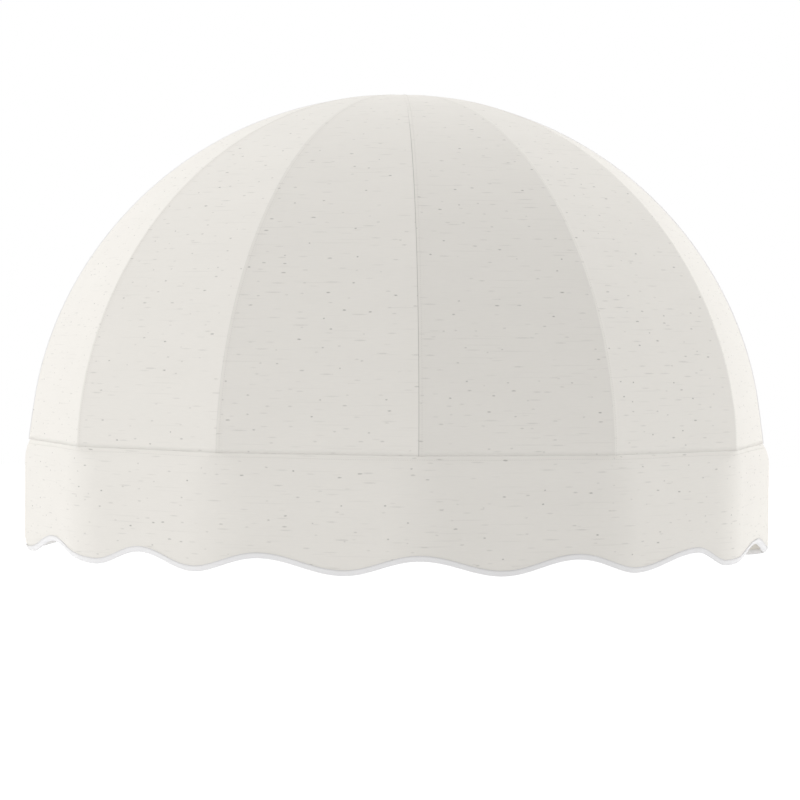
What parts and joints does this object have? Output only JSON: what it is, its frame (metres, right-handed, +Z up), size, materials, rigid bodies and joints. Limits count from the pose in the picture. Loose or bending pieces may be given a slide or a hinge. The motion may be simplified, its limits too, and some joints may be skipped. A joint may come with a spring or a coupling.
{
  "type": "window awning",
  "caption": "Fixed quarter-dome window awning: slub canvas gores over a tube frame, with a scalloped, tape-bound valance.",
  "frame": {"origin": "centre of the back face of the crown hub's wall plate, on the wall plane", "axes": "+X to the right seen from in front, +Y into the wall, +Z up"},
  "size_m": [1.2312, 0.6104, 0.7564],
  "materials": {
    "canvas": "off-white slub acrylic canvas, matte",
    "binding_tape": "woven tape, light grey-white, matte",
    "frame_coating": "pale powder coat on aluminium tube, satin",
    "cast_fitting": "plain cast aluminium, satin"
  },
  "bodies": {
    "root": {"gore_left_outer": "canvas", "gore_left_middle": "canvas", "gore_left_inner": "canvas", "gore_right_inner": "canvas", "gore_right_middle": "canvas", "gore_right_outer": "canvas", "valance": "canvas", "valance_binding": "binding_tape", "wall_edge_piping": "binding_tape", "wall_bow": "frame_coating", "base_hoop": "frame_coating", "rib_left_outer": "frame_coating", "rib_left_inner": "frame_coating", "rib_centre": "frame_coating", "rib_right_inner": "frame_coating", "rib_right_outer": "frame_coating", "rib_shoe_left_outer": "cast_fitting", "rib_shoe_left_inner": "cast_fitting", "rib_shoe_centre": "cast_fitting", "rib_shoe_right_inner": "cast_fitting", "rib_shoe_right_outer": "cast_fitting", "crown_hub": "cast_fitting", "corner_bracket_left": "cast_fitting", "corner_bracket_right": "cast_fitting", "wall_clip_left": "cast_fitting", "wall_clip_right": "cast_fitting"}
  },
  "joints": []
}
